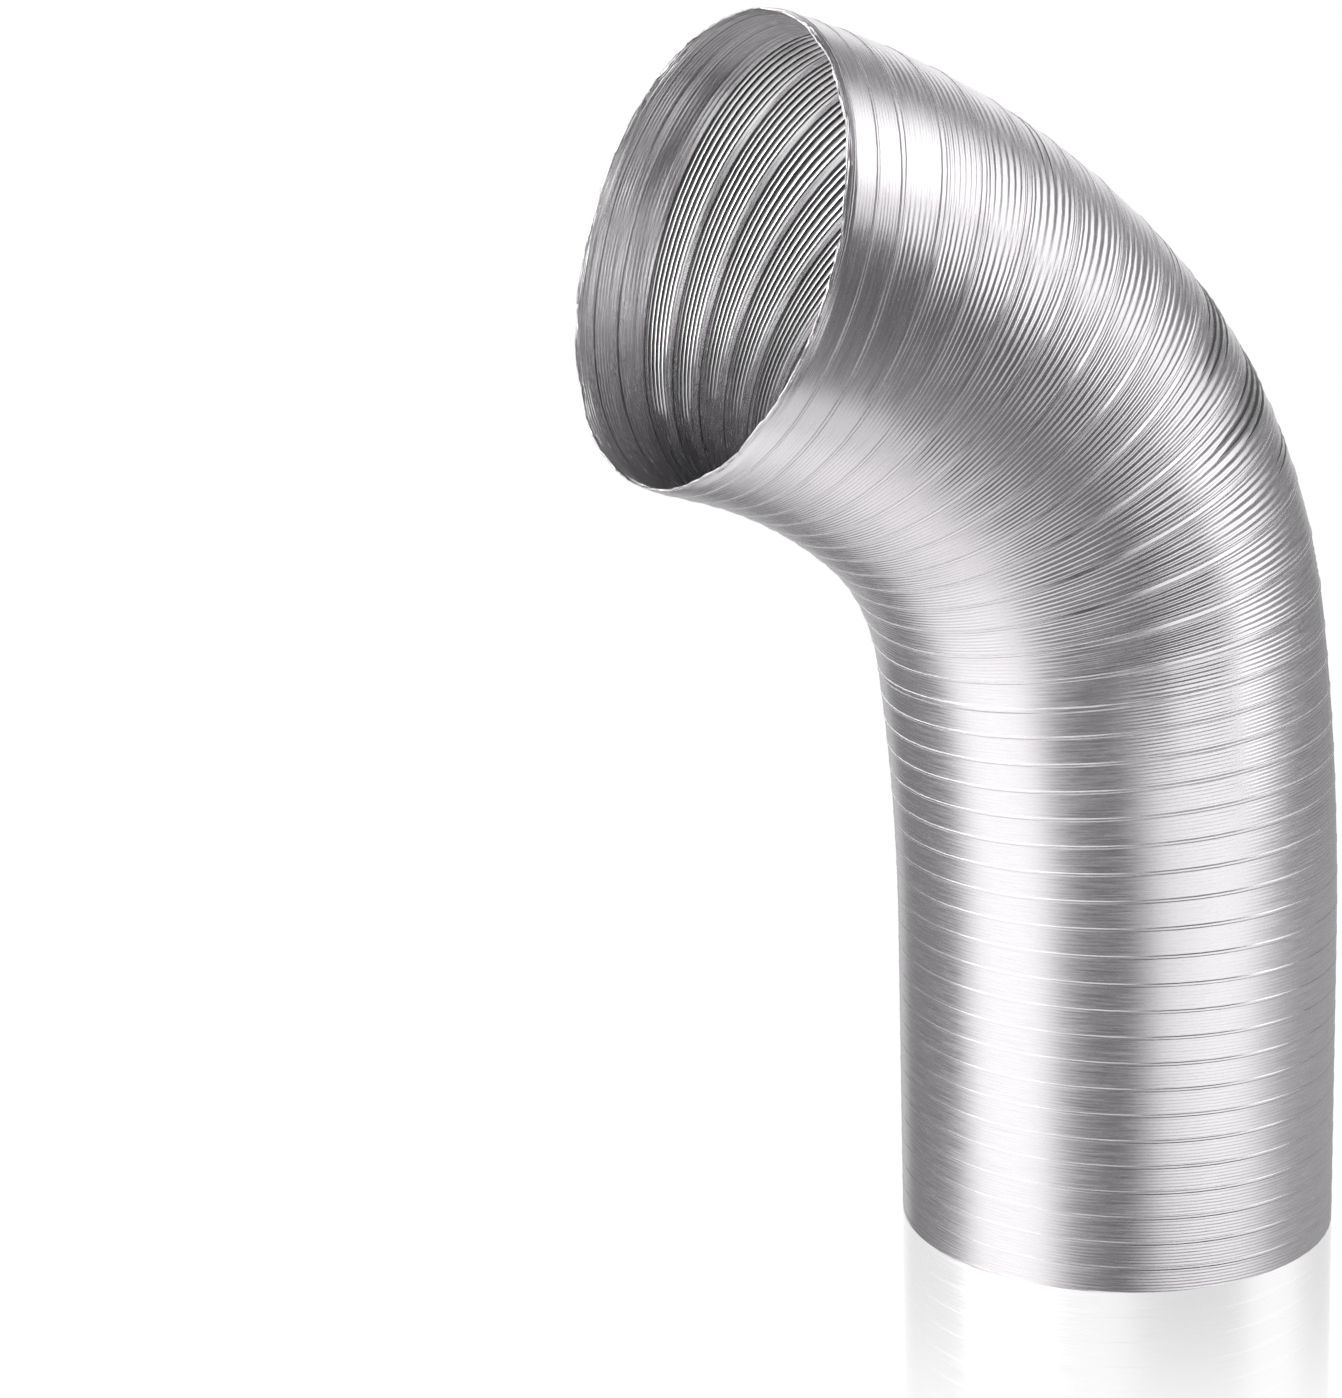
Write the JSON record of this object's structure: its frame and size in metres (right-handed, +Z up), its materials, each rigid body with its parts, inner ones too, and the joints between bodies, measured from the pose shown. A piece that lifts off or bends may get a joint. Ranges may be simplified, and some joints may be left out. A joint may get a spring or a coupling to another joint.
{
  "type": "flexible aluminium duct",
  "caption": "Pleated aluminium duct wound from one strip, standing on its cut end and bent by hand into an elbow with an open mouth.",
  "frame": {"origin": "middle of the lower cut end, in the plane that the duct stands on", "axes": "+Z up along the lower run, -X towards the side that the duct bends to, Y across the bend"},
  "size_m": [0.1735, 0.102, 0.2836],
  "materials": {
    "foil": "satin"
  },
  "bodies": {
    "root": {"duct": "foil"}
  },
  "joints": []
}
